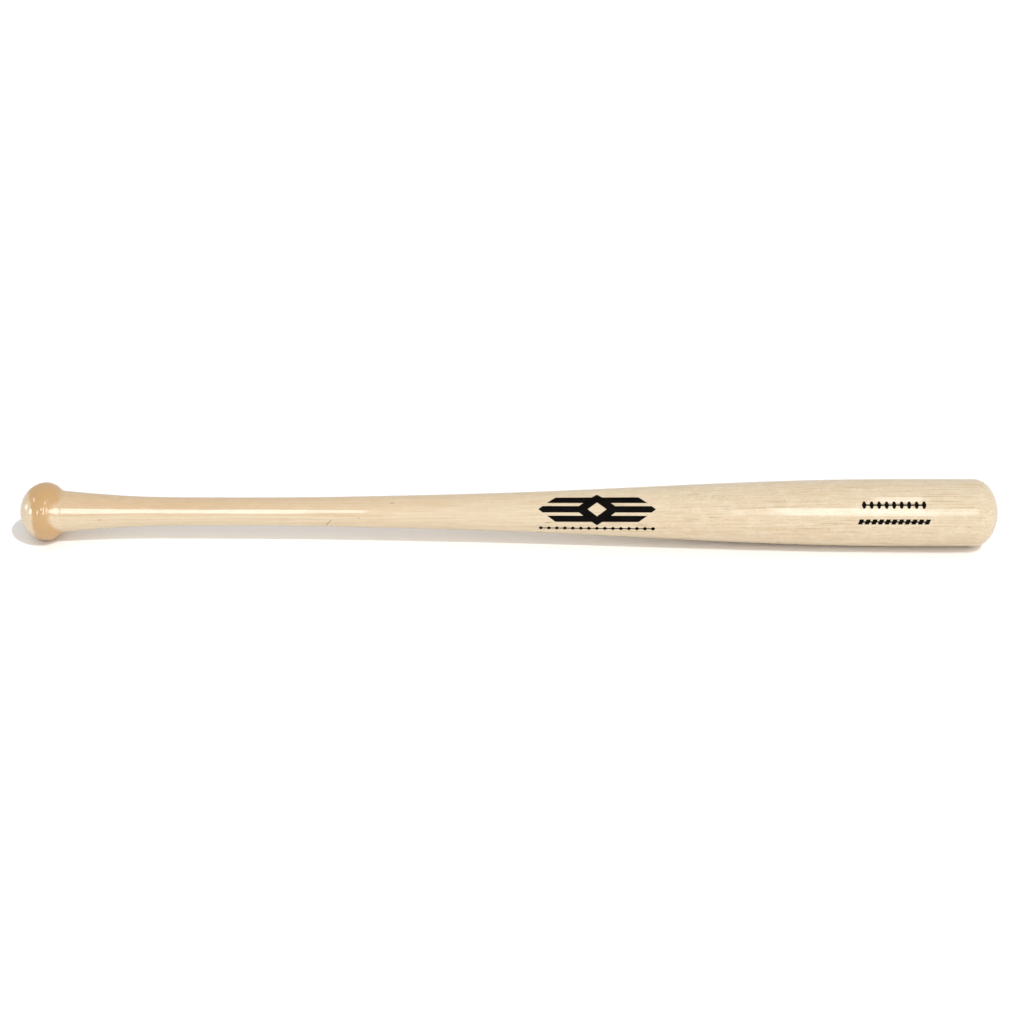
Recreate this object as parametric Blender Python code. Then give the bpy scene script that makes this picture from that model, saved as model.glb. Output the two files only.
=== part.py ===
"""A turned hard-maple baseball bat with its four applied marks, in metres, +Z up.

The bat lies along +X. The origin is the centre of the small flat on its knob end.
Angles round the bat are measured from -Y, the marked side, upwards to +Z.
"""

import math

import bmesh
import bpy
import numpy as np

# The turned body
LENGTH = 0.7874
KNOB_DIAMETER = 0.0472
KNOB_FRONT = 0.0205
KNOB_BACK = 0.0182
KNOB_FLAT_DIAMETER = 0.0090
NECK_BLEND = 0.0016
BARREL_ROUND = 0.0187
BARREL_FLAT_DIAMETER = 0.0110

# The turner's stations: distance from the knob end, and the diameter there
STATIONS = (
    (0.0337, 0.0338),
    (0.0590, 0.0292),
    (0.0890, 0.0251),
    (0.1490, 0.0231),
    (0.2240, 0.0235),
    (0.3000, 0.0262),
    (0.4000, 0.0320),
    (0.5000, 0.0410),
    (0.5900, 0.0494),
    (0.6800, 0.0542),
    (0.7400, 0.0547),
    (0.7750, 0.0546),
)

# The marks: films on the body, centred on the direction the marked side faces
FACING = math.radians(28)
FILM_GAP = 0.0003
FILM_THICKNESS = 0.00025
EMBLEM_AT = 0.4643
EMBLEM_LIFT = 0.0023
EMBLEM_LENGTH = 0.094
DIAMOND_LENGTH = 0.036
DIAMOND_HEIGHT = 0.027
WINDOW_SHARE = 0.42
STRIPE_HEIGHT = 0.0052
STRIPE_PITCH = 0.0078

# Rows of beads on a thin rule: place along the bat, lift round it from the facing side, length,
# height, number of beads, height of the rule, crest (from 0, a diamond, to 1, a block) and slant
BEAD_ROWS = {
    "emblem_underline": (EMBLEM_AT, -0.0144, EMBLEM_LENGTH, 0.0034, 15, 0.0009, 0.2, 0),
    "end_mark_upper": (0.7007, 0.0060, 0.0517, 0.0060, 9, 0.0012, 0.35, 0),
    "end_mark_lower": (0.7010, -0.0076, 0.0567, 0.0042, 11, 0.0012, 1, 0.35),
}

# How finely the round surfaces are cut
SIDES = 48
END_STEPS = 12
BACK_STEPS = 7
NECK_STEP = 0.0015
NECK_LENGTH = 0.006
TAPER_STEP = 0.020
TAPER_ENDS = (0.003, 0.008, 0.016)
FILM_STEP_ALONG = 0.008
FILM_STEP_ROUND = 0.003
SHARP_ANGLE = math.radians(35)


def clear_scene():
    for obj in list(bpy.data.objects):
        bpy.data.objects.remove(obj, do_unlink=True)


def spline_bends(x, y):
    """Second derivatives of the natural cubic spline through the points."""
    count = len(x)
    step = np.diff(x)
    system = np.eye(count)
    wanted = np.zeros(count)
    for i in range(1, count - 1):
        system[i, i - 1 : i + 2] = step[i - 1], 2 * (step[i - 1] + step[i]), step[i]
        wanted[i] = 6 * ((y[i + 1] - y[i]) / step[i] - (y[i] - y[i - 1]) / step[i - 1])
    return np.linalg.solve(system, wanted)


STATION_X, STATION_DIAMETER = np.array(STATIONS).T
STATION_BEND = spline_bends(STATION_X, STATION_DIAMETER)


def station_radius(x):
    """Radius of the handle and barrel, on one smooth curve through the stations."""
    i = int(np.clip(np.searchsorted(STATION_X, x) - 1, 0, len(STATION_X) - 2))
    step = STATION_X[i + 1] - STATION_X[i]
    low = (STATION_X[i + 1] - x) / step
    high = 1 - low
    straight = low * STATION_DIAMETER[i] + high * STATION_DIAMETER[i + 1]
    bend = (low**3 - low) * STATION_BEND[i] + (high**3 - high) * STATION_BEND[i + 1]
    return float(straight + bend * step**2 / 6) / 2


def ellipse_reach(length, diameter, flat_diameter):
    """Half-axis of an end's ellipse that its flat cuts off after the given length."""
    return length / math.sqrt(1 - (flat_diameter / diameter) ** 2)


BARREL_DIAMETER = STATIONS[-1][1]
KNOB_REACH = ellipse_reach(KNOB_FRONT, KNOB_DIAMETER, KNOB_FLAT_DIAMETER)
BARREL_REACH = ellipse_reach(BARREL_ROUND, BARREL_DIAMETER, BARREL_FLAT_DIAMETER)
BARREL_SHOULDER = LENGTH - BARREL_ROUND


def knob_radius(x):
    """Two half-ellipsoids that meet at the knob's widest point."""
    reach = KNOB_REACH if x < KNOB_FRONT else KNOB_BACK
    rise = 1 - ((x - KNOB_FRONT) / reach) ** 2
    return KNOB_DIAMETER / 2 * math.sqrt(max(rise, 0))


def body_radius(x):
    """Radius of the whole bat: knob, filleted neck, handle, barrel and rounded end."""
    knob = knob_radius(x)
    if x < KNOB_FRONT:
        return knob
    handle = station_radius(x)
    overlap = max(NECK_BLEND - abs(knob - handle), 0)
    radius = max(knob, handle) + overlap**2 / (4 * NECK_BLEND)
    past = max(x - BARREL_SHOULDER, 0) / BARREL_REACH
    return radius * math.sqrt(1 - past**2)


def spread(low, high, step):
    """Evenly spaced values from low to high, no further apart than step, ends included."""
    return np.linspace(low, high, math.ceil((high - low) / step) + 1)


def ring_positions():
    """Places of the profile's rings: close on the round ends and neck, wider along the taper."""
    neck = STATIONS[0][0]
    front_start = math.acos(KNOB_FRONT / KNOB_REACH)
    front = KNOB_FRONT - KNOB_REACH * np.cos(np.linspace(front_start, math.pi / 2, END_STEPS))
    back_end = math.asin((neck - 2 * NECK_STEP - KNOB_FRONT) / KNOB_BACK)
    back = KNOB_FRONT + KNOB_BACK * np.sin(np.linspace(0, back_end, BACK_STEPS))
    fillet = spread(neck - NECK_STEP, neck + NECK_LENGTH, NECK_STEP)
    after_neck = [neck + NECK_LENGTH + gap for gap in TAPER_ENDS]
    before_shoulder = [BARREL_SHOULDER - gap for gap in reversed(TAPER_ENDS)]
    taper = spread(after_neck[-1], before_shoulder[0], TAPER_STEP)[1:-1]
    end_turn = math.asin(BARREL_ROUND / BARREL_REACH)
    end = BARREL_SHOULDER + BARREL_REACH * np.sin(np.linspace(0, end_turn, END_STEPS))
    return [*front, *back[1:], *fillet, *after_neck, *taper, *before_shoulder, *end]


def material(name, colour, roughness):
    made = bpy.data.materials.new(name)
    made.use_nodes = True
    shader = made.node_tree.nodes["Principled BSDF"]
    shader.inputs["Base Color"].default_value = (*colour, 1)
    shader.inputs["Roughness"].default_value = roughness
    shader.inputs["Metallic"].default_value = 0
    return made


def add_object(name, bm, finish):
    mesh = bpy.data.meshes.new(name)
    bm.to_mesh(mesh)
    bm.free()
    mesh.materials.append(finish)
    mesh.shade_smooth()
    mesh.set_sharp_from_angle(angle=SHARP_ANGLE)
    obj = bpy.data.objects.new(name, mesh)
    bpy.context.scene.collection.objects.link(obj)
    return obj


def make_body(finish):
    """Spins the profile round +X, with the middle of one facet straight down, and caps the ends."""
    bm = bmesh.new()
    start = -math.pi / 2 + math.pi / SIDES
    points = []
    for x in ring_positions():
        radius = body_radius(x)
        points.append(bm.verts.new((x, -radius * math.cos(start), radius * math.sin(start))))
    edges = [bm.edges.new(pair) for pair in zip(points, points[1:])]
    bmesh.ops.spin(
        bm,
        geom=[*points, *edges],
        cent=(0, 0, 0),
        axis=(1, 0, 0),
        angle=2 * math.pi,
        steps=SIDES,
        use_merge=True,
    )
    rims = [edge for edge in bm.edges if edge.is_boundary]
    bmesh.ops.holes_fill(bm, edges=rims, sides=SIDES)
    bmesh.ops.recalc_face_normals(bm, faces=bm.faces)
    return add_object("bat_body", bm, finish)


def emblem_outline():
    """The right half of the emblem: a diamond with a window, and three stripes cut to a point."""
    diamond = DIAMOND_LENGTH / 2
    tip = DIAMOND_HEIGHT / 2
    slope = diamond / tip
    bottoms = [side * STRIPE_PITCH - STRIPE_HEIGHT / 2 for side in (-1, 0, 1)]
    outline = [(0, -tip)]
    for bottom in bottoms:
        top = bottom + STRIPE_HEIGHT
        outline.append((diamond - slope * abs(bottom), bottom))
        outline.append((EMBLEM_LENGTH / 2 - slope * abs(bottom), bottom))
        if bottom < 0 < top:
            outline.append((EMBLEM_LENGTH / 2, 0))
        outline.append((EMBLEM_LENGTH / 2 - slope * abs(top), top))
        outline.append((diamond - slope * abs(top), top))
    outline.append((0, tip))
    outline.append((0, tip * WINDOW_SHARE))
    outline.append((diamond * WINDOW_SHARE, 0))
    outline.append((0, -tip * WINDOW_SHARE))
    return outline


def mirrored(outline):
    return [(-u, v) for u, v in reversed(outline)]


def beaded_rule(length, height, count, rule, crest, slant):
    """The outline of a thin rule with evenly spaced beads along it, half a bead apart."""
    bead = length / (1.5 * count - 0.5)
    half = height / 2
    low = rule / 2
    foot = bead / 2 * (1 - (1 - crest) * low / half)
    upper = []
    for i in range(count):
        middle = (bead - length) / 2 + 1.5 * bead * i
        upper.append((middle - foot, low))
        upper.append((middle - crest * bead / 2, half))
        if crest > 0:
            upper.append((middle + crest * bead / 2, half))
        upper.append((middle + foot, low))
    lower = [(-u, -v) for u, v in upper]
    return [(u + slant * v, v) for u, v in reversed([*upper, *lower])]


def cut_across(bm, low, high, step, direction):
    """Cuts the flat faces along evenly spaced lines, so that they can follow a curve."""
    for place in spread(low, high, step)[1:-1]:
        bmesh.ops.bisect_plane(
            bm,
            geom=[*bm.verts, *bm.edges, *bm.faces],
            plane_co=[place * part for part in direction],
            plane_no=direction,
            dist=1e-7,
        )


def make_film(name, outlines, at, lift, finish):
    """Wraps flat outlines round the body at a distance and an arc's lift from the facing side."""
    bm = bmesh.new()
    for outline in outlines:
        bm.faces.new([bm.verts.new((u, v, 0)) for u, v in outline])
    bmesh.ops.remove_doubles(bm, verts=bm.verts, dist=1e-6)
    along = [vert.co.x for vert in bm.verts]
    round_it = [vert.co.y for vert in bm.verts]
    cut_across(bm, min(along), max(along), FILM_STEP_ALONG, (1, 0, 0))
    cut_across(bm, min(round_it), max(round_it), FILM_STEP_ROUND, (0, 1, 0))
    bmesh.ops.recalc_face_normals(bm, faces=bm.faces)
    if sum(face.normal.z for face in bm.faces) < 0:
        bmesh.ops.reverse_faces(bm, faces=bm.faces)
    for vert in bm.verts:
        x = at + vert.co.x
        radius = body_radius(x)
        angle = FACING + (lift + vert.co.y) / radius
        outer = radius + FILM_GAP
        vert.co = (x, -outer * math.cos(angle), outer * math.sin(angle))
    obj = add_object(name, bm, finish)
    solid = obj.modifiers.new("thickness", "SOLIDIFY")
    solid.thickness = FILM_THICKNESS
    solid.offset = 1
    return obj


def make_marks(finish):
    emblem = emblem_outline()
    make_film("emblem", [emblem, mirrored(emblem)], EMBLEM_AT, EMBLEM_LIFT, finish)
    for name, (at, lift, *shape) in BEAD_ROWS.items():
        make_film(name, [beaded_rule(*shape)], at, lift, finish)


clear_scene()
make_body(material("lacquered_maple", (0.82, 0.66, 0.45), 0.22))
make_marks(material("black_film", (0.012, 0.010, 0.010), 0.30))
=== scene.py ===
import math

import bmesh
import bpy
import numpy as np
from mathutils import Matrix, Quaternion, Vector


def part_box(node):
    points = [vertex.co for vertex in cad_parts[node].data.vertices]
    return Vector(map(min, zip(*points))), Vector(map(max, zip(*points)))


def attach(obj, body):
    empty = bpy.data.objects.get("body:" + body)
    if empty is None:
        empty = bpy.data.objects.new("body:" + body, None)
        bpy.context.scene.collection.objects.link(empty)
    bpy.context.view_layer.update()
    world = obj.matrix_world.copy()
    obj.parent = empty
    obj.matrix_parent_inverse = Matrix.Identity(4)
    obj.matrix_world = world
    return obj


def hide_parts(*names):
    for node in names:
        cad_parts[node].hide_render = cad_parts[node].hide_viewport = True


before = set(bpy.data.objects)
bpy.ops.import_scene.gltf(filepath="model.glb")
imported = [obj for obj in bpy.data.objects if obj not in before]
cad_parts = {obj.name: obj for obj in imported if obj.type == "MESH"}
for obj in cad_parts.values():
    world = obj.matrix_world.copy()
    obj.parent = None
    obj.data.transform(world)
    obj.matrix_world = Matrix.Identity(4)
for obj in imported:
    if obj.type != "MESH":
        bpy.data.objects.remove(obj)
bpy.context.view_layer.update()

# The bat lies along +X from the pole of its knob. Lengths are in metres. The marks face the camera,
# which looks down on them, and angles round the bat are measured from -Y, upwards to +Z.
VIEW_ELEVATION = math.radians(28)
MARKED_SIDE = Vector((0, -math.cos(VIEW_ELEVATION), math.sin(VIEW_ELEVATION)))
UPWARDS = (0, math.sin(VIEW_ELEVATION), math.cos(VIEW_ELEVATION))

# The turned surface: sides of each ring, and steps between rings near the ends and between them
SEGMENTS = 192
FINE_STEP = 0.0007
TAPER_STEP = 0.0028
END_ZONE = 0.045

# The printed marks: height of the film's top and of its sunken root over the wood, the grid that
# bends it, and the sharpest edge that still shades smooth
PRINT_NODES = ("emblem", "emblem_underline", "end_mark_upper", "end_mark_lower")
PRINT_TOP = 0.00005
PRINT_ROOT = -0.00005
PRINT_STEP_ALONG = 0.002
PRINT_STEP_ROUND = math.radians(2)
PRINT_EDGE = math.radians(50)
SAME_POINT = 1e-6
ON_PLANE = 1e-8


def spline_bends(x, y):
    """Second derivatives of the natural cubic spline through the points."""
    count = len(x)
    step = np.diff(x)
    system = np.eye(count)
    wanted = np.zeros(count)
    for i in range(1, count - 1):
        system[i, i - 1 : i + 2] = step[i - 1], 2 * (step[i - 1] + step[i]), step[i]
        wanted[i] = 6 * ((y[i + 1] - y[i]) / step[i] - (y[i] - y[i - 1]) / step[i - 1])
    return np.linalg.solve(system, wanted)


def spline(x, y):
    """A function that reads the natural cubic spline through the points."""
    bends = spline_bends(x, y)

    def value(at):
        i = np.clip(np.searchsorted(x, at) - 1, 0, len(x) - 2)
        step = x[i + 1] - x[i]
        before = (x[i + 1] - at) / step
        after = 1 - before
        curve = (before**3 - before) * bends[i] + (after**3 - after) * bends[i + 1]
        return before * y[i] + after * y[i + 1] + curve * step**2 / 6

    return value


def packed_rings():
    """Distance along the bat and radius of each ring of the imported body."""
    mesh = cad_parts["bat_body"].data
    points = np.array([vert.co[:] for vert in mesh.vertices])
    places = np.round(points[:, 0], 6)
    radii = np.hypot(points[:, 1], points[:, 2])
    along = np.unique(places)
    return along, np.array([radii[places == x].max() for x in along])


RING_X, RING_R = packed_rings()
LENGTH = float(RING_X[-1])


def turned_profile():
    """Closely spaced points of the outline between the knob's pole and the barrel's."""
    x = np.array([0, *RING_X, LENGTH])
    r = np.array([0, *RING_R, 0])
    run = np.concatenate([[0], np.cumsum(np.hypot(np.diff(x), np.diff(r)))])
    x_at, r_at = spline(run, x), spline(run, r)
    places = [FINE_STEP]
    while places[-1] < run[-1]:
        near_end = x_at(places[-1]) < END_ZONE or x_at(places[-1]) > LENGTH - END_ZONE
        places.append(places[-1] + (FINE_STEP if near_end else TAPER_STEP))
    places = np.array([p for p in places if p < run[-1] - FINE_STEP / 2])
    return x_at(places), r_at(places)


PROFILE_X, PROFILE_R = turned_profile()


def radius_at(x):
    return float(np.interp(x, PROFILE_X, PROFILE_R))


def add_piece(name, mesh, finish, node):
    """Puts a finished mesh in the scene in place of its CAD node."""
    mesh.materials.append(finish)
    mesh.shade_smooth()
    piece = bpy.data.objects.new(name, mesh)
    bpy.context.scene.collection.objects.link(piece)
    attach(piece, "root")
    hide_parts(node)
    return piece


def make_body(finish):
    """The fine turned surface: rings of one radius each, closed by a fan at each pole."""
    turn = np.arange(SEGMENTS) * 2 * math.pi / SEGMENTS
    points = [(0, 0, 0)]
    for x, r in zip(PROFILE_X, PROFILE_R):
        points.extend(zip(np.full(SEGMENTS, x), -r * np.cos(turn), r * np.sin(turn)))
    points.append((LENGTH, 0, 0))
    knob_pole, barrel_pole = 0, len(points) - 1
    rings = range(1, barrel_pole, SEGMENTS)
    faces = []
    for i in range(SEGMENTS):
        j = (i + 1) % SEGMENTS
        faces.append((knob_pole, rings[0] + j, rings[0] + i))
        for ring, following in zip(rings, rings[1:]):
            faces.append((ring + i, ring + j, following + j, following + i))
        faces.append((rings[-1] + i, rings[-1] + j, barrel_pole))
    mesh = bpy.data.meshes.new("bat_body_turned")
    mesh.from_pydata([tuple(map(float, p)) for p in points], [], faces)
    bm = bmesh.new()
    bm.from_mesh(mesh)
    bmesh.ops.recalc_face_normals(bm, faces=bm.faces)
    bm.to_mesh(mesh)
    bm.free()
    return add_piece("bat_body_turned", mesh, finish, "bat_body")


def slice_through(bm, point, normal):
    everything = [*bm.verts, *bm.edges, *bm.faces]
    bmesh.ops.bisect_plane(bm, geom=everything, plane_co=point, plane_no=normal, dist=ON_PLANE)


def make_print(node, finish):
    """A mark's film, cut finely and laid on the wood, with its root just under the surface."""
    bm = bmesh.new()
    bm.from_mesh(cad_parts[node].data)
    bmesh.ops.remove_doubles(bm, verts=bm.verts, dist=SAME_POINT)
    low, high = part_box(node)
    lifts = [math.hypot(v.co.y, v.co.z) - radius_at(v.co.x) for v in bm.verts]
    middle = (min(lifts) + max(lifts)) / 2
    for x in np.arange(low[0] + PRINT_STEP_ALONG, high[0], PRINT_STEP_ALONG):
        slice_through(bm, (x, 0, 0), (1, 0, 0))
    angles = [math.atan2(v.co.z, -v.co.y) for v in bm.verts]
    for turn in np.arange(min(angles) + PRINT_STEP_ROUND, max(angles), PRINT_STEP_ROUND):
        slice_through(bm, (0, 0, 0), (0, math.sin(turn), math.cos(turn)))
    for vert in bm.verts:
        wood = radius_at(vert.co.x)
        distance = math.hypot(vert.co.y, vert.co.z)
        wanted = wood + (PRINT_TOP if distance - wood > middle else PRINT_ROOT)
        vert.co.y *= wanted / distance
        vert.co.z *= wanted / distance
    mesh = bpy.data.meshes.new(node + "_print")
    bm.to_mesh(mesh)
    bm.free()
    piece = add_piece(node + "_print", mesh, finish, node)
    mesh.set_sharp_from_angle(angle=PRINT_EDGE)
    return piece


# Materials


def add(tree, kind, values=None, **settings):
    """A shader node with its settings and its inputs' values, or links where a socket is given."""
    made = tree.nodes.new(kind)
    for name, value in settings.items():
        setattr(made, name, value)
    for name, value in (values or {}).items():
        if isinstance(value, bpy.types.NodeSocket):
            tree.links.new(value, made.inputs[name])
        else:
            made.inputs[name].default_value = value
    return made


def maths(tree, operation, *values, clamp=False):
    values = dict(enumerate(values))
    made = add(tree, "ShaderNodeMath", values, operation=operation, use_clamp=clamp)
    return made.outputs[0]


def times(tree, *values):
    product = values[0]
    for value in values[1:]:
        product = maths(tree, "MULTIPLY", product, value)
    return product


def vector_maths(tree, operation, *values):
    values = dict(enumerate(values))
    return add(tree, "ShaderNodeVectorMath", values, operation=operation).outputs


def dot(tree, place, direction):
    return vector_maths(tree, "DOT_PRODUCT", place, direction)["Value"]


def stretched(tree, place, scale):
    """The place scaled by x, y and z, so that a texture read there is drawn out along the bat."""
    return vector_maths(tree, "MULTIPLY", place, scale)["Vector"]


def noise(tree, place, waves, detail=3, roughness=0.5):
    """Noise that is nearly all inside NOISE_SPAN, with so many waves per metre by x, y and z."""
    vector = stretched(tree, place, waves)
    values = {"Vector": vector, "Scale": 1, "Detail": detail, "Roughness": roughness}
    return add(tree, "ShaderNodeTexNoise", values).outputs["Fac"]


def fade(tree, value, start, end, low=0, high=1):
    """Smooth step from low to high as the value goes from start to end."""
    values = {"Value": value, "From Min": start, "From Max": end, "To Min": low, "To Max": high}
    made = add(tree, "ShaderNodeMapRange", values, interpolation_type="SMOOTHSTEP")
    return made.outputs["Result"]


def blend(tree, share, first, second):
    """The first colour with a share of the second over it."""
    made = add(tree, "ShaderNodeMix", data_type="RGBA")
    for name, value in (("Factor", share), ("A", first), ("B", second)):
        socket = next(s for s in made.inputs if s.name == name and s.enabled)
        if isinstance(value, bpy.types.NodeSocket):
            tree.links.new(value, socket)
        else:
            socket.default_value = value
    return next(s for s in made.outputs if s.enabled)


def bumps(tree, height, strength, distance):
    values = {"Strength": strength, "Distance": distance, "Height": height}
    return add(tree, "ShaderNodeBump", values).outputs["Normal"]


def new_material(name):
    made = bpy.data.materials.new(name)
    made.use_nodes = True
    tree = made.node_tree
    return made, tree, tree.nodes["Principled BSDF"]


SAPWOOD = (0.690, 0.578, 0.420, 1)
# Heartwood's colour, also used as painted shade on the handle's upper side
HEARTWOOD_AND_UPPER_SHADE = (0.612, 0.442, 0.274, 1)
RING_LINE = (0.520, 0.375, 0.225, 1)
PALE_FIGURE = (0.760, 0.665, 0.520, 1)
FLECK = (0.400, 0.260, 0.140, 1)
MINERAL = (0.230, 0.160, 0.085, 1)
KNOB_TAN = (0.520, 0.312, 0.132, 1)
RING_END = (0.430, 0.285, 0.150, 1)
LACQUER_TINT = (1.0, 0.988, 0.960, 1)
INK = (0.0020, 0.0016, 0.0014, 1)
WORN_INK = (0.0050, 0.0040, 0.0034, 1)
GRAIN_IN_INK = (0.07, 0.048, 0.030, 1)
FLOOR_WHITE = (0.880, 0.880, 0.882, 1), (0.890, 0.890, 0.890, 1)
FLOOR_REFLECTED = (0.68, 0.67, 0.66, 1)

NOISE_SPAN = (0.2, 0.8)
# Waves of each noise per metre along and across the bat
PITH_WAVES = (2.5, 6, 6)
RING_WAVES = (3, 90, 90)
FAINT_RING_WAVES = (9, 160, 160)
TONE_WAVES = (5, 26, 26)
FIBRE_WAVES = (14, 900, 900)
STAIN_WAVES = (110, 110, 110)
LACQUER_WAVES = (60, 140, 140)
INK_GRAIN_WAVES = (60, 1100, 1100)
INK_CLOUD_WAVES = (90, 200, 200)
FLOOR_GRAIN_WAVES = (900, 900, 900)
FLOOR_TONE_WAVES = (1.5, 1.5, 1.5)

# Growth rings, round a pith beside the bat that wanders by so much along it. The late wood darkens
# over this share of each year.
PITH = (0.0, 0.052, 0.097)
PITH_WANDER = (0, 0.016, 0.016)
RING_WIDTH = 0.0024
RING_SLANT = 0.02
RING_UNEVENNESS = 1.6
RING_STRENGTH = 0.45
LATE_START, LATE_END = 0.55, 0.97

# The darker upper side of the handle, painted shade in heartwood's colour: between these distances
# along the bat its border climbs from one lift above the axis to the other, and it fades out. Its
# border is ragged and soft, and some heartwood is scattered below.
UPPER_SHADE_CLIMB = (0.26, 0.46)
UPPER_SHADE_LIFT = (-0.0005, 0.0155)
UPPER_SHADE_FADE = (0.03, 0.48)
UPPER_SHADE_RAGGED = 0.004
UPPER_SHADE_SOFT = 0.0025
HEART_SCATTERED = 0.20

# Distances along the bat between which the barrel's figure fades in, from its share on the handle
FIGURE_FADE = (0.30, 0.60)
FIGURE_ON_HANDLE = 0.30

# The knob's stain: how far along the bat it reaches, on the axis and well below it, and how much
# further well above it; those heights; and how ragged and soft it ends
STAIN_REACH = (0.0230, 0.0315)
STAIN_BELOW = (-0.008, -0.019)
STAIN_ABOVE = (0, 0.010)
STAIN_REACH_ABOVE = 0.007
STAIN_RAGGED = 0.003
STAIN_SOFT = (0.0050, -0.0015)

# The knob's pale face, a painted reflection of the white floor on its end: where its rim runs, as
# the slope towards the end, on the lower and the upper side; how ragged and soft it is; and how
# strongly stain and sapwood show on either side of it
FACE_LEAN = (-0.18, 0.55)
FACE_RIM = (-0.396, -0.61)
FACE_RAGGED = 0.10
FACE_INSIDE, FACE_OUTSIDE = -0.10, 0.08
STAIN_SHARES = (0.2, 0.9)
FACE_SOFT = 0.08
FACE_SHARE = 0.65
FACE_REFLECTION_BY_LEANING = (0.7, 0.1, 0.4, 1)

# What lies over the fibres: waves, detail and roughness of its noise, where it fades in and how
# strongly, its colour, and whether it belongs to the barrel
GRAIN_LAYERS = (
    ((7, 330, 330), 3, 0.60, 0.54, 0.70, 0.50, HEARTWOOD_AND_UPPER_SHADE, False),
    ((16, 620, 620), 1, 0.50, 0.63, 0.71, 0.45, FLECK, True),
    ((95, 150, 150), 4, 0.65, 0.44, 0.66, 0.42, PALE_FIGURE, True),
    ((330, 1300, 1300), 2, 0.50, 0.57, 0.72, 0.42, FLECK, True),
)

# Each mineral streak: distance along the bat, lift above its axis, length, width, lean in degrees
MINERAL_STREAKS = (
    (0.2487, -0.0088, 0.0090, 0.0006, 42),
    (0.2730, -0.0052, 0.0016, 0.0006, 10),
    (0.3000, 0.0070, 0.0045, 0.0005, 4),
    (0.0650, -0.0070, 0.0022, 0.0005, 20),
    (0.4250, -0.0085, 0.0075, 0.0005, 3),
)


def late_wood(tree, place):
    """Darkness of the late wood in rings round a pith that wanders beside the billet."""
    vector = stretched(tree, place, PITH_WAVES)
    wander = add(tree, "ShaderNodeTexNoise", {"Vector": vector, "Scale": 1, "Detail": 2})
    drift = vector_maths(tree, "SUBTRACT", wander.outputs["Color"], (0.5, 0.5, 0.5))["Vector"]
    drift = stretched(tree, drift, PITH_WANDER)
    from_pith = vector_maths(tree, "SUBTRACT", place, PITH)["Vector"]
    from_pith = vector_maths(tree, "ADD", from_pith, drift)["Vector"]
    across = stretched(tree, from_pith, (RING_SLANT, 1, 1))
    rings = maths(tree, "DIVIDE", vector_maths(tree, "LENGTH", across)["Value"], RING_WIDTH)
    uneven = noise(tree, place, RING_WAVES, detail=2)
    rings = maths(tree, "ADD", rings, maths(tree, "MULTIPLY", uneven, RING_UNEVENNESS))
    season = maths(tree, "FRACT", rings)
    darkening = fade(tree, season, LATE_START, LATE_END)
    winter = fade(tree, season, 1.0, LATE_END)
    faint = noise(tree, place, FAINT_RING_WAVES)
    return times(tree, darkening, winter, fade(tree, faint, 0.30, 0.70, 0.15, 0.9))


def upper_shade_and_heartwood_share(tree, place, along, upwards):
    """Painted shade in heartwood's colour darkens the upper side of the handle and fades out along
    the taper; some heartwood is scattered below.
    """
    tone = noise(tree, place, TONE_WAVES, roughness=0.55)
    border = fade(tree, along, *UPPER_SHADE_CLIMB, *UPPER_SHADE_LIFT)
    above = maths(tree, "SUBTRACT", upwards, border)
    ragged = fade(tree, tone, *NOISE_SPAN, -UPPER_SHADE_RAGGED, UPPER_SHADE_RAGGED)
    # Painted shade: above this border the handle takes heartwood's darker colour
    upper_shade = fade(tree, maths(tree, "ADD", above, ragged), -UPPER_SHADE_SOFT, UPPER_SHADE_SOFT)
    upper_shade = times(tree, upper_shade, fade(tree, along, *UPPER_SHADE_FADE, 1.0, 0.0))
    scattered = fade(tree, tone, 0.40, 0.75, 0, HEART_SCATTERED)
    return maths(tree, "ADD", upper_shade, scattered, clamp=True)


def with_grain(tree, colour, place, along, late, fibres):
    """Growth rings, long fibres and streaks, and the barrel's lines, wavy figure and ray flecks."""
    colour = blend(tree, times(tree, late, RING_STRENGTH), colour, RING_LINE)
    colour = blend(tree, fade(tree, fibres, 0.42, 0.78, 0, 0.42), colour, RING_LINE)
    on_barrel = fade(tree, along, *FIGURE_FADE, FIGURE_ON_HANDLE, 1)
    for waves, detail, roughness, start, end, strength, over, barrel_only in GRAIN_LAYERS:
        share = noise(tree, place, waves, detail, roughness)
        share = fade(tree, share, start, end, 0, strength)
        if barrel_only:
            share = times(tree, share, on_barrel)
        colour = blend(tree, share, colour, over)
    return colour


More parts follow.
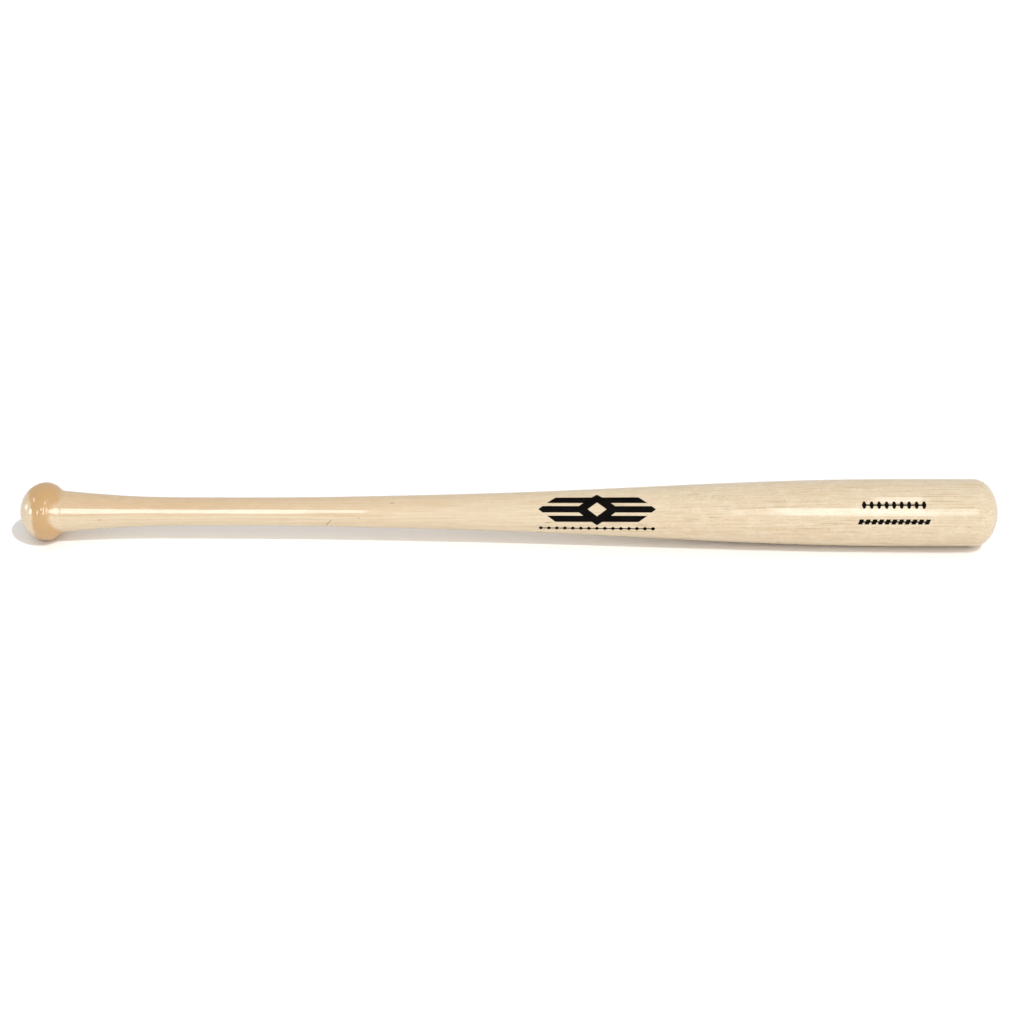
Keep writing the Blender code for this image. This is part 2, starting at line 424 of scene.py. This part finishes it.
def with_stained_knob_and_floor_reflection(tree, colour, place, along, upwards, end_on, leaning):
    """The knob's end grain drank more lacquer and is stained tan; its end face is kept pale, most
    where it faces down, as a painted reflection of the white floor.
    """
    cloud = noise(tree, place, STAIN_WAVES, roughness=0.6)
    edge = fade(tree, upwards, *STAIN_BELOW, *STAIN_REACH)
    edge = maths(tree, "ADD", edge, fade(tree, cloud, *NOISE_SPAN, 0, STAIN_RAGGED))
    edge = maths(tree, "ADD", edge, fade(tree, upwards, *STAIN_ABOVE, 0, STAIN_REACH_ABOVE))
    on_knob = fade(tree, maths(tree, "SUBTRACT", along, edge), *STAIN_SOFT)
    # Painted reflection of the white floor: the end face is kept pale, most where it faces down
    rim = maths(tree, "SUBTRACT", end_on, fade(tree, leaning, *FACE_LEAN, *FACE_RIM))
    rim = maths(tree, "ADD", rim, fade(tree, cloud, *NOISE_SPAN, -FACE_RAGGED, FACE_RAGGED))
    tan = times(tree, on_knob, fade(tree, rim, FACE_INSIDE, FACE_OUTSIDE, *STAIN_SHARES))
    colour = blend(tree, tan, colour, KNOB_TAN)
    painted_floor_reflection = times(tree, on_knob, fade(tree, rim, FACE_SOFT, -FACE_SOFT, 0, FACE_SHARE))
    painted_floor_reflection = times(tree, painted_floor_reflection, fade(tree, leaning, *FACE_REFLECTION_BY_LEANING))
    return blend(tree, painted_floor_reflection, colour, SAPWOOD)


def streak_share(tree, along, upwards, place_along, lift, length, width, lean):
    """A thin mark in the wood, centred at a distance along the bat and a lift above its axis."""
    u = maths(tree, "SUBTRACT", along, place_along)
    v = maths(tree, "SUBTRACT", upwards, lift)
    cos, sin = math.cos(math.radians(lean)), math.sin(math.radians(lean))
    run = maths(tree, "ADD", times(tree, u, cos), times(tree, v, sin))
    off = maths(tree, "SUBTRACT", times(tree, v, cos), times(tree, u, sin))
    end = fade(tree, maths(tree, "ABSOLUTE", run), length / 2, length / 5)
    side = fade(tree, maths(tree, "ABSOLUTE", off), width, width / 4)
    return times(tree, end, side)


def maple():
    """Hard maple with its growth rings, fibres, ray flecks and end grain, under clear lacquer;
    painted shade darkens the handle's upper side and a painted floor reflection lightens the knob's
    lower end.
    """
    made, tree, shader = new_material("lacquered_maple")
    where = tree.nodes.new("ShaderNodeTexCoord")
    place, facing = where.outputs["Object"], where.outputs["Normal"]
    along = dot(tree, place, (1, 0, 0))
    upwards = dot(tree, place, UPWARDS)
    end_on = dot(tree, facing, (1, 0, 0))
    leaning = dot(tree, facing, UPWARDS)
    late = late_wood(tree, place)
    fibres = noise(tree, place, FIBRE_WAVES, detail=4, roughness=0.6)

    # Painted shade: the handle's upper side is darker, in heartwood's colour
    colour = blend(tree, upper_shade_and_heartwood_share(tree, place, along, upwards), SAPWOOD, HEARTWOOD_AND_UPPER_SHADE)
    colour = with_grain(tree, colour, place, along, late, fibres)
    # Stain on the knob, with a painted floor reflection on its lower end
    colour = with_stained_knob_and_floor_reflection(tree, colour, place, along, upwards, end_on, leaning)

    # Growth rings show as arcs on both ends, where the wood is cut across
    cut_across = fade(tree, maths(tree, "ABSOLUTE", end_on), 0.72, 0.97, 0, 0.75)
    colour = blend(tree, times(tree, late, cut_across), colour, RING_END)

    # Small dark mineral streaks, on the marked side alone
    front = fade(tree, dot(tree, facing, MARKED_SIDE), 0.0, 0.2)
    for streak in MINERAL_STREAKS:
        share = times(tree, streak_share(tree, along, upwards, *streak), front, 0.75)
        colour = blend(tree, share, colour, MINERAL)

    peel = noise(tree, place, LACQUER_WAVES, detail=2)
    tree.links.new(colour, shader.inputs["Base Color"])
    tree.links.new(fade(tree, fibres, *NOISE_SPAN, 0.36, 0.52), shader.inputs["Roughness"])
    grain_relief = bumps(tree, fibres, strength=0.12, distance=0.0002)
    tree.links.new(grain_relief, shader.inputs["Normal"])
    lacquer_relief = bumps(tree, peel, strength=0.014, distance=0.001)
    tree.links.new(lacquer_relief, shader.inputs["Coat Normal"])
    shader.inputs["Specular IOR Level"].default_value = 0.2
    shader.inputs["Coat Weight"].default_value = 1
    shader.inputs["Coat Roughness"].default_value = 0.05
    shader.inputs["Coat IOR"].default_value = 1.5
    shader.inputs["Coat Tint"].default_value = LACQUER_TINT
    return made


def black_print():
    """Black transfer film under the lacquer, a little uneven where the wood's grain shows."""
    made, tree, shader = new_material("black_print")
    place = tree.nodes.new("ShaderNodeTexCoord").outputs["Object"]
    grain = noise(tree, place, INK_GRAIN_WAVES)
    cloud = noise(tree, place, INK_CLOUD_WAVES, detail=2)
    colour = blend(tree, fade(tree, cloud, 0.35, 0.75), INK, WORN_INK)
    colour = blend(tree, fade(tree, grain, 0.68, 0.80, 0, 0.30), colour, GRAIN_IN_INK)
    tree.links.new(colour, shader.inputs["Base Color"])
    tree.links.new(fade(tree, grain, *NOISE_SPAN, 0.30, 0.48), shader.inputs["Roughness"])
    relief = bumps(tree, grain, strength=0.08, distance=0.0002)
    tree.links.new(relief, shader.inputs["Normal"])
    shader.inputs["Specular IOR Level"].default_value = 0.02
    shader.inputs["Coat Weight"].default_value = 0.1
    shader.inputs["Coat Roughness"].default_value = 0.05
    shader.inputs["Coat IOR"].default_value = 1.4
    return made


def white_floor():
    """A matt white surface that looks darker to reflections, so that the lacquer keeps contrast."""
    made, tree, shader = new_material("white_floor")
    place = tree.nodes.new("ShaderNodeTexCoord").outputs["Object"]
    grain = noise(tree, place, FLOOR_GRAIN_WAVES, detail=2)
    tone = noise(tree, place, FLOOR_TONE_WAVES, detail=1)
    colour = blend(tree, tone, *FLOOR_WHITE)
    mirrored = tree.nodes.new("ShaderNodeLightPath").outputs["Is Glossy Ray"]
    colour = blend(tree, mirrored, colour, FLOOR_REFLECTED)
    tree.links.new(colour, shader.inputs["Base Color"])
    shader.inputs["Roughness"].default_value = 0.6
    shader.inputs["Specular IOR Level"].default_value = 0
    relief = bumps(tree, grain, strength=0.05, distance=0.0002)
    tree.links.new(relief, shader.inputs["Normal"])
    return made


# Studio

# The camera: lens and sensor in millimetres, width of the view in bat lengths, how far past the
# bat's middle it aims, and its roll
LENS = 85
SENSOR = 36
FRAME_SHARE = 1.0505
AIM_OFFSET = 0.0025
CAMERA_ROLL = math.radians(0.09)

# The floor, which the knob and the barrel touch: the knob is before NECK, the barrel past TAPER
FLOOR_RADIUS = 12
FLOOR_SIDES = 96
NECK = 0.1
TAPER = 0.5

# The surroundings: what lights the bat from in front and from behind, what the lacquer shows, and
# what the camera sees
ROOM = (0.620, 0.606, 0.594, 1)
WALL_BEHIND = (1.12, 1.10, 1.08, 1)
ROOM_REFLECTED = (0.60, 0.60, 0.60, 1)
BACKDROP = (0.99, 0.99, 0.99, 1)

LAMP_WHITE = (1, 0.985, 0.975)
FILL_WARM = (1, 0.980, 0.960)
KEY_DIRECTION = (0.37, -0.42, 0.88)
SUN_DISTANCE = 4
# Lights from far away: direction, strength, colour, angle in degrees, and what alone it lights.
# The floor's own two wash it out to white beyond the shadow and warm the shadow.
SUNS = {
    "key": (KEY_DIRECTION, 0.90, (0.86, 0.95, 1), 0.8, None),
    "fill_front": ((0, -0.90, 0.42), 0.68, FILL_WARM, 60, None),
    "fill_right": ((0.90, -0.30, 0.30), 0.80, FILL_WARM, 60, None),
    "fill_left": ((-0.90, -0.30, 0.30), 0.58, FILL_WARM, 60, "bat"),
    "floor_key": (KEY_DIRECTION, 0.62, (0.90, 0.96, 1), 0.8, "floor"),
    "floor_fill": ((0.58, -0.68, 0.42), 0.58, (1, 0.76, 0.54), 60, "floor"),
}
# Soft boxes in front of the bat: distance along it, elevation in degrees, distance from it, width,
# height, radiance, and the distance along the bat that it faces
FRONT_BOXES = {
    "handle": (0.056, 28, 1.0, 0.132, 0.52, 9, 0.056),
    "handle_end": (0.1495, 29, 1.0, 0.055, 0.38, 6.5, 0.1495),
    "barrel_fade_in": (0.640, 30, 2.2, 0.12, 0.90, 2, 0.6),
    "barrel": (0.900, 30, 2.2, 0.40, 1.00, 6, 0.68),
    "barrel_fade_out": (1.190, 30, 2.2, 0.18, 0.80, 3, 0.75),
    "barrel_high": (1.030, 72, 2.2, 0.12, 0.70, 5, 1.03),
}
# Boxes across the bat that light the back of the knob: distance along the bat, elevation in
# degrees, near and far edge, height, and radiance
SIDE_BOXES = (
    (0.33, 28, 0.055, 0.50, 0.105, 8),
    (0.42, 60, 1.50, 3.40, 0.44, 6),
)
# Small lamps round the knob: direction, distance, angular width and height, and radiance
KNOB_LAMPS = (
    ((-0.198, -0.800, 0.566), 2.2, 0.12, 0.13, 14),
    ((-0.510, -0.791, 0.338), 2.2, 0.14, 0.28, 7),
    ((-0.930, -0.328, 0.166), 2.0, 0.22, 0.28, 8),
    ((-0.983, 0.162, 0.088), 1.0, 0.26, 0.20, 5),
    ((-0.725, -0.015, 0.688), 2.2, 0.26, 0.13, 6),
)


def lying_slope():
    """Slope of the floor that knob and barrel both touch, and its depth below the origin."""
    slope = 0.0
    for _ in range(4):
        depths = RING_R - slope * RING_X
        knob = max(np.flatnonzero(RING_X < NECK), key=lambda i: depths[i])
        barrel = max(np.flatnonzero(RING_X > TAPER), key=lambda i: depths[i])
        slope = (RING_R[barrel] - RING_R[knob]) / (RING_X[barrel] - RING_X[knob])
    return float(slope), float(RING_R[knob] - slope * RING_X[knob])


def make_floor():
    slope, drop = lying_slope()
    bm = bmesh.new()
    bmesh.ops.create_circle(bm, cap_ends=True, segments=FLOOR_SIDES, radius=FLOOR_RADIUS)
    for vert in bm.verts:
        vert.co.z = -drop - slope * vert.co.x
    mesh = bpy.data.meshes.new("studio_floor")
    bm.to_mesh(mesh)
    bm.free()
    mesh.materials.append(white_floor())
    floor = bpy.data.objects.new("studio_floor", mesh)
    bpy.context.scene.collection.objects.link(floor)
    return floor


def aimed(obj, target):
    direction = Vector(target) - obj.location
    obj.rotation_mode = "QUATERNION"
    obj.rotation_quaternion = direction.to_track_quat("-Z", "Y")


def add_light(name, light, place, target, colour, strength):
    light.color = colour
    light.energy = strength
    obj = bpy.data.objects.new(name, light)
    bpy.context.scene.collection.objects.link(obj)
    obj.location = place
    aimed(obj, target)
    obj.visible_camera = False
    return obj


def add_sun(name, direction, strength, colour, angle):
    """A light from far away that the lacquer doesn't show."""
    light = bpy.data.lights.new(name, "SUN")
    light.angle = math.radians(angle)
    place = Vector(direction).normalized() * SUN_DISTANCE
    sun = add_light(name, light, place, (0, 0, 0), colour, strength)
    sun.visible_glossy = False
    return sun


def soft_box(name, place, target, width, height, radiance):
    """A lamp that shows in the lacquer only, facing its target."""
    light = bpy.data.lights.new(name, "AREA")
    light.shape = "RECTANGLE"
    light.size, light.size_y = width, height
    power = radiance * math.pi * width * height
    box = add_light(name, light, place, target, LAMP_WHITE, power)
    box.visible_diffuse = False
    return box


def front_box(name, x, elevation, distance, width, height, radiance, target_x):
    """A soft box in front of the bat, at an elevation above its axis."""
    rise = math.radians(elevation)
    place = (x, -distance * math.cos(rise), distance * math.sin(rise))
    soft_box(name, place, (target_x, 0, 0), width, height, radiance)


def side_box(name, x, elevation, near, far, height, radiance):
    """A soft box across the bat that faces the knob, from near to far in front of the axis."""
    rise = math.radians(elevation)
    outwards = Vector((0, -math.cos(rise), math.sin(rise)))
    across = Vector((1, 0, 0))
    middle = outwards * (near + far) / 2 + across * x
    box = soft_box(name, middle, (0, 0, 0), far - near, height, radiance)
    turn = Matrix((outwards, across.cross(outwards), across)).transposed()
    box.rotation_quaternion = turn.to_quaternion()


def knob_lamp(name, direction, distance, wide, tall, radiance):
    """A small lamp in the given direction from the knob, of the given angular size."""
    knob = Vector((float(RING_X[np.argmax(RING_R * (RING_X < END_ZONE))]), 0, 0))
    place = knob + Vector(direction).normalized() * distance
    soft_box(name, place, knob, wide * distance, tall * distance, radiance)


def light_only(light, objects):
    """Keeps a light to the given objects, which still shade each other and everything else."""
    lit = bpy.data.collections.new(light.name + "_lights")
    for obj in objects:
        lit.objects.link(obj)
    light.light_linking.receiver_collection = lit


def make_lights(floor, pieces):
    lit = {"floor": [floor], "bat": pieces}
    for name, (*sun, only) in SUNS.items():
        light = add_sun(name, *sun)
        if only:
            light_only(light, lit[only])
    for name, box in FRONT_BOXES.items():
        front_box(name, *box)
    for i, box in enumerate(SIDE_BOXES):
        side_box(f"side_{i}", *box)
    for i, lamp in enumerate(KNOB_LAMPS):
        knob_lamp(f"knob_lamp_{i}", *lamp)


def make_world():
    """Pale surroundings that light the bat and show in its lacquer, with a white wall behind."""
    world = bpy.data.worlds.new("studio")
    bpy.context.scene.world = world
    world.use_nodes = True
    tree = world.node_tree
    back = tree.nodes["Background"]
    rays = tree.nodes.new("ShaderNodeLightPath").outputs
    direction = tree.nodes.new("ShaderNodeTexCoord").outputs["Generated"]
    behind = fade(tree, dot(tree, direction, (0, 1, 0)), 0.35, 0.80)
    room = blend(tree, behind, ROOM, WALL_BEHIND)
    room = blend(tree, rays["Is Glossy Ray"], room, ROOM_REFLECTED)
    colour = blend(tree, rays["Is Camera Ray"], room, BACKDROP)
    tree.links.new(colour, back.inputs["Color"])
    back.inputs["Strength"].default_value = 1


def make_camera():
    low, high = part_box("bat_body")
    centre = (Vector(low) + Vector(high)) / 2
    target = Vector((centre.x + AIM_OFFSET, 0, 0))
    data = bpy.data.cameras.new("camera")
    data.lens = LENS
    data.sensor_width = SENSOR
    camera = bpy.data.objects.new("camera", data)
    bpy.context.scene.collection.objects.link(camera)
    distance = (high[0] - low[0]) * FRAME_SHARE * LENS / SENSOR
    camera.location = target + MARKED_SIDE * distance
    aimed(camera, target)
    camera.rotation_quaternion @= Quaternion((0, 0, 1), CAMERA_ROLL)
    bpy.context.scene.camera = camera
    bpy.context.scene.view_settings.view_transform = "Standard"


ink = black_print()
pieces = [make_body(maple())]
pieces += [make_print(node, ink) for node in PRINT_NODES]
make_world()
make_lights(make_floor(), pieces)
make_camera()
